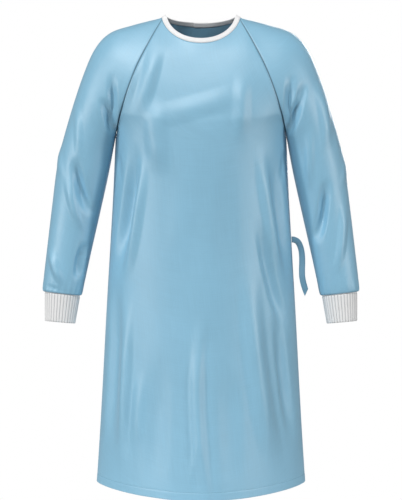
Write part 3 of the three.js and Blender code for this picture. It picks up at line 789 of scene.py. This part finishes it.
def sleeve_cloth(side):
    """One sleeve, on the +X side for 1 and the -X side for -1, and the path of its sewing."""
    levels = levels_of(SLEEVE_GRID["yoke"], SLEEVE_GRID["arm"])
    around = with_edges(0, 1, SLEEVE_GRID["across"])
    around = around[::-1] if side > 0 else around
    base = eased_underarm(sleeve_grid(levels, around), levels, 2 * around - 1)
    base = base if side > 0 else mirrored(base)
    left, down = arc(base, 1), arc(base, 0)
    edge = np.minimum(left, left[:, -1:] - left)
    up = down[-1:] - down
    run_out = smooth(0, FOLD_RUNOUT["sleeve"], np.minimum(around, 1 - around))
    run_out = run_out * smooth(0, FOLD_RUNOUT["wrist"], up)
    wave = np.sin(2 * math.pi * (GATHERS["count"] * around + GATHERS["wander"] * np.sin(7 * around + side)))
    drawn = smooth(GATHERS["from"], GATHERS["to"], levels)[:, None] * smooth(0, GATHERS["clear"], up)
    height = fold_height("sleeves", base) * run_out + groove(edge) + groove(up)
    height += GATHERS["height"] * wave * drawn
    name = "left" if side > 0 else "right"
    seam = np.minimum(edge, up)
    made, outer = cloth_piece(f"sleeve_{name}_cloth", f"sleeve_{name}", base, height, seam)
    return made, [turned(along_columns(outer[::-1], up[::-1], STITCH["inset"]))]


# Cuffs

def cuff_knit(side):
    """A rib knit tube: each rib rounded in its outer face, and the lower edge rolled in."""
    count = CUFF["ribs"] * CUFF["rib_points"]
    turn = np.arange(count) / count
    turn = turn[::-1] if side > 0 else turn
    down = steps(0, 1, CUFF["rows"])
    base = cuff_grid(down, turn)
    base = base if side > 0 else mirrored(base)
    closed = np.concatenate([base[:, -1:], base, base[:, :1]], 1)
    normals = grid_normals(closed)[:, 1:-1]
    valley = ((1 + np.cos(2 * math.pi * CUFF["ribs"] * turn)) / 2) ** CUFF["valley_power"]
    fall = arc(base, 0)
    to_end = np.minimum(fall[-1:] - fall, fall)
    roll = 1 - np.sqrt(np.clip(1 - (1 - np.clip(to_end / CUFF["roll"], 0, 1)) ** 2, 0, 1))
    height = -CUFF["rib_height"] * valley[None] * (1 - 0.5 * roll) - 0.45 * CUFF["wall"] * roll
    outer = base + normals * height[..., None]
    inner = base - normals * (CUFF["wall"] * (1 - 0.3 * roll))[..., None]
    cut = np.stack([arc(base, 1), fall, np.zeros(height.shape)], -1)
    # The valleys' share of painted grey shade
    shade = np.broadcast_to(valley[None], height.shape)
    fields = {"cut": two_faces(cut), "valley": two_faces(shade)}
    name = "left" if side > 0 else "right"
    return piece(f"cuff_{name}_knit", wall(outer, inner, True), KNIT, "knit", f"cuff_{name}", **fields)


# Neck binding

def neckline():
    """The neckline from the lower back's free end round to the upper back's: points, up, and lift."""
    count = BINDING["stations"]
    ends = np.array([0.0, 0.03])

    def edge(grid, lift=0.0):
        return grid[0], unit(grid[0] - grid[1]), np.broadcast_to(lift, len(grid[0]))

    lower = steps(-LAP, 1, count)[:-1]
    upper = steps(-1, LAP, count)[1:]
    shoulder = steps(1, 0, count // 3)[1:-1]
    chest = steps(1, -1, 2 * count)[1:-1]
    runs = (
        edge(body_grid(BACK, ends, lower)),
        edge(sleeve_grid(ends, shoulder)),
        edge(body_grid(FRONT, ends, chest)),
        edge(mirrored(sleeve_grid(ends, shoulder[::-1]))),
        edge(body_grid(BACK, ends, upper), upper_lift(upper)),
    )
    return [np.concatenate(parts) for parts in zip(*runs)]


def eased(values, reach):
    """Values along the binding, each averaged with its neighbours, with the ends kept."""
    padded = np.concatenate([values[:1]] * reach + [values] + [values[-1:]] * reach)
    return sum(padded[i : i + len(values)] for i in range(2 * reach + 1)) / (2 * reach + 1)


def neck_tape():
    """The folded strip round the neck, and the path of its sewing."""
    at, up, lift = neckline()
    up = unit(eased(up, BINDING["ease"]))
    along = unit(np.gradient(at, axis=0))
    outward = unit(np.cross(up, along))
    upward = np.cross(along, outward)
    out_start = (lift + BINDING["proud"] - BINDING["wall"])[:, None]
    foot = at + upward * BINDING["gap"] + outward * out_start
    flat = np.linspace(0, 0.86, 5)
    turn = np.linspace(0, math.pi, 8)
    rise = np.concatenate([flat, 0.9 + 0.1 * np.sin(turn), flat[::-1]])
    depth = np.concatenate([np.ones(5), 0.5 + 0.5 * np.cos(turn), np.zeros(5)])
    tall = (BINDING["width"] - BINDING["gap"]) * rise[None, :, None]
    deep = (depth * BINDING["wall"])[None, :, None]
    rings = foot[:, None] + upward[:, None] * tall + outward[:, None] * deep
    run = arc(at[None], 1)[0]
    cut = np.stack(np.broadcast_arrays(run[:, None], tall[..., 0], 0.0), -1).reshape(-1, 3)
    made = piece("neck_tape", bar(rings), TAPE, "binding", "neck_binding", cut=cut)
    sewing = foot + upward * BINDING["sewn_at"] * BINDING["width"] + outward * BINDING["wall"]
    return made, [[sewing, outward]]


# Ties

def tape_rings(centre, wide, thick, along, slant):
    """Rings of a flat tape, the free end cut on the slant."""
    w = np.linspace(-1, 1, TIE["across"])
    across = np.concatenate([w, w[::-1]])
    face = np.concatenate([-np.ones(len(w)), np.ones(len(w))])
    edge = 1 - 0.35 * np.abs(across) ** 8
    return (
        centre[:, None]
        + wide[:, None] * (across * TIE["width"] / 2)[None, :, None]
        + thick[:, None] * (face * edge * TIE["wall"] / 2)[None, :, None]
        - along[:, None] * (across[None] * slant[:, None])[..., None]
    )


def tape_cut(rings):
    run = arc(rings.mean(1)[None], 1)[0]
    w = np.linspace(0, TIE["width"], TIE["across"])
    across = np.concatenate([w, w[::-1]])
    cut = np.stack(np.broadcast_arrays(across[None], run[:, None], 0.0), -1)
    return cut.reshape(-1, 3)


def tie_piece(name, node_name, rings):
    fields = {"cut": tape_cut(rings), "seam": np.zeros(rings.shape[0] * rings.shape[1])}
    return piece(name, bar(rings), TIE_SHADED_CLOTH, "tie", node_name, **fields)


def side_tie():
    """A flat tape that leaves the side seam, arches out and hangs."""
    share = steps(0, 1, TIE["steps"])
    route = sample(SIDE_TIE, share * SIDE_TIE["level"][-1])
    seam = sample(BODY, [level_at(TIE["drop"])])["half"][0]
    centre = route["at"] + np.array([seam + SEAM_GAP, 0, -TIE["drop"]])
    along = unit(np.gradient(centre, axis=0))
    wide = unit(np.cross([0, -1, 0], along))
    turn = np.radians(route["turn"])[:, None]
    wide = wide * np.cos(turn) + np.cross(along, wide) * np.sin(turn)
    thick = unit(np.cross(along, wide))
    rings = tape_rings(centre, wide, thick, along, TIE["slant"] * smooth(TIE["slant_from"], 1, share))
    made = tie_piece("side_tie_tape", "side_tie", rings)
    inset = TIE["width"] / 2 - TIE_SEWING["inset"]
    inner = share < TIE_SEWING["to"]
    paths = []
    for face in (-1, 1):
        for w in (-inset, inset):
            line = centre + wide * w + thick * face * TIE["wall"] / 2
            paths.append([line[inner], face * thick[inner]])
    return made, paths


def back_tie():
    """The same tape, sewn on the upper back panel beside its free edge, and hanging flat on it."""
    length = BACK_TIE["level"][-1]
    down = steps(0, length, TIE["steps"])
    middle = LAP - sample(BACK_TIE, down)["inset"]
    reach = sample(BACK["centre"], [level_at(TIE["drop"])])["reach"][0]
    per_mm = 1 / (3 * reach)

    def surface(drop, across):
        step = 0.01
        level = level_at(drop)
        near = [(level, across), (level, across + step), (level, across - step)]
        near += [(level + step, across), (level - step, across)]
        at, right, left, low, high = [
            np.array([body_grid(BACK, np.array([z]), np.array([x]))[0, 0] for z, x in zip(*pair)])
            for pair in near
        ]
        normal = unit(np.cross(right - left, low - high))
        rise = fold_height("back", at) + upper_lift(across) + BACK_TIE_CLEAR + TIE["wall"] / 2
        return at + normal * rise[:, None], normal

    centre, thick = surface(TIE["drop"] + down, middle)
    edge, _ = surface(TIE["drop"] + down, middle + per_mm * TIE["width"] / 2)
    wide = unit(edge - centre)
    along = unit(np.gradient(centre, axis=0))
    slant = TIE["slant"] * smooth(TIE["slant_from"], 1, down / length)
    rings = tape_rings(centre, wide, thick, along, slant)
    made = tie_piece("back_tie_tape", "back_tie", rings[:, ::-1])
    inset = TIE["width"] / 2 - TIE_SEWING["inset"]
    kept = down < TIE_SEWING["to"] * length
    paths = [[(centre + wide * w + thick * TIE["wall"] / 2)[kept], thick[kept]] for w in (-inset, inset)]
    span = np.linspace(-inset, inset, TIE_SEWING["bar_points"])[:, None]
    for drop in TIE_SEWING["bars"]:
        row = int(drop / length * TIE["steps"])
        bar_line = centre[row] + wide[row] * span + thick[row] * TIE["wall"] / 2
        paths.append([bar_line, np.repeat(thick[row : row + 1], len(span), 0)])
    return made, paths


# The gown

front, front_paths = front_cloth()
back_lower, lower_paths = back_cloth(False)
back_upper, upper_paths = back_cloth(True)
sleeve_left, left_paths = sleeve_cloth(1)
sleeve_right, right_paths = sleeve_cloth(-1)
cuffs = [cuff_knit(1), cuff_knit(-1)]
binding, neck_paths = neck_tape()
tie_side, side_paths = side_tie()
tie_back, back_paths = back_tie()

front_sewing = piece("front_stitches", stitches(front_paths), BLUE_THREAD, "cloth")
lower_sewing = piece("back_lower_stitches", stitches(lower_paths), BLUE_THREAD, "cloth")
upper_sewing = piece("back_upper_stitches", stitches(upper_paths), BLUE_THREAD, "cloth")
left_sewing = piece("sleeve_left_stitches", stitches(left_paths), BLUE_THREAD, "cloth")
right_sewing = piece("sleeve_right_stitches", stitches(right_paths), BLUE_THREAD, "cloth")
neck_sewing = piece("neck_stitches", stitches(neck_paths), WHITE_THREAD, "binding")
side_sewing = piece("side_tie_stitches", stitches(side_paths), BLUE_THREAD, "tie")
back_sewing = piece("back_tie_stitches", stitches(back_paths), BLUE_THREAD, "tie")


# Stage, light and camera

def floor():
    turn = np.linspace(0, 2 * math.pi, FLOOR["sides"], endpoint=False)
    rim = [(FLOOR["radius"] * math.cos(a), FLOOR["radius"] * math.sin(a), FLOOR["z"]) for a in turn]
    mesh = bpy.data.meshes.new("floor")
    mesh.from_pydata(rim, [], [tuple(range(FLOOR["sides"]))])
    material, tree, shader = new_material("pale_floor", roughness=0.9, sheen=0.0, specular=0.1)
    place = node(tree, "ShaderNodeTexCoord").outputs["Object"]
    grain = node(tree, "ShaderNodeTexNoise", {"Vector": place, "Scale": 3.0}).outputs["Fac"]
    tone = mixed(tree, grain, (0.90, 0.90, 0.90, 1), (0.93, 0.93, 0.93, 1))
    tree.links.new(tone, shader.inputs["Base Color"])
    mesh.materials.append(material)
    made = bpy.data.objects.new("floor", mesh)
    bpy.context.scene.collection.objects.link(made)


def aimed(place, aim):
    return (Vector(aim) - Vector(place)).to_track_quat("-Z", "Y").to_euler()


def key_light():
    """A wide, far light from the upper left, the same all over the gown."""
    lamp = bpy.data.lights.new("key_light", "SUN")
    lamp.energy = KEY["strength"]
    lamp.angle = math.radians(KEY["angle"])
    made = bpy.data.objects.new("key_light", lamp)
    made.location = KEY["place"]
    made.rotation_euler = aimed(KEY["place"], LIGHT_AIM)
    bpy.context.scene.collection.objects.link(made)


def lights():
    for row in LIGHTS:
        lamp = bpy.data.lights.new(row["name"], "AREA")
        lamp.shape = "RECTANGLE"
        lamp.size, lamp.size_y = row["size"]
        lamp.energy = row["watts"]
        made = bpy.data.objects.new(row["name"], lamp)
        made.location = row["place"]
        made.rotation_euler = aimed(row["place"], LIGHT_AIM)
        bpy.context.scene.collection.objects.link(made)


def sky():
    """A white surround, dimmer as a light than it looks."""
    world = bpy.data.worlds.new("white_surround")
    bpy.context.scene.world = world
    world.use_nodes = True
    tree = world.node_tree
    seen = node(tree, "ShaderNodeBackground", {"Color": (1, 1, 1, 1), "Strength": 1.0})
    lit = node(tree, "ShaderNodeBackground", {"Color": (1, 1, 1, 1), "Strength": AMBIENT})
    path = node(tree, "ShaderNodeLightPath")
    both = node(tree, "ShaderNodeMixShader", {0: path.outputs["Is Camera Ray"]})
    tree.links.new(lit.outputs[0], both.inputs[1])
    tree.links.new(seen.outputs[0], both.inputs[2])
    tree.links.new(both.outputs[0], tree.nodes["World Output"].inputs["Surface"])


def camera():
    data = bpy.data.cameras.new("camera")
    data.lens = CAMERA["lens"]
    data.sensor_width = CAMERA["sensor"]
    made = bpy.data.objects.new("camera", data)
    made.location = CAMERA["place"]
    made.rotation_euler = aimed(CAMERA["place"], CAMERA["aim"])
    bpy.context.scene.collection.objects.link(made)
    bpy.context.scene.camera = made


floor()
key_light()
lights()
sky()
camera()
bpy.context.scene.view_settings.view_transform = "Standard"
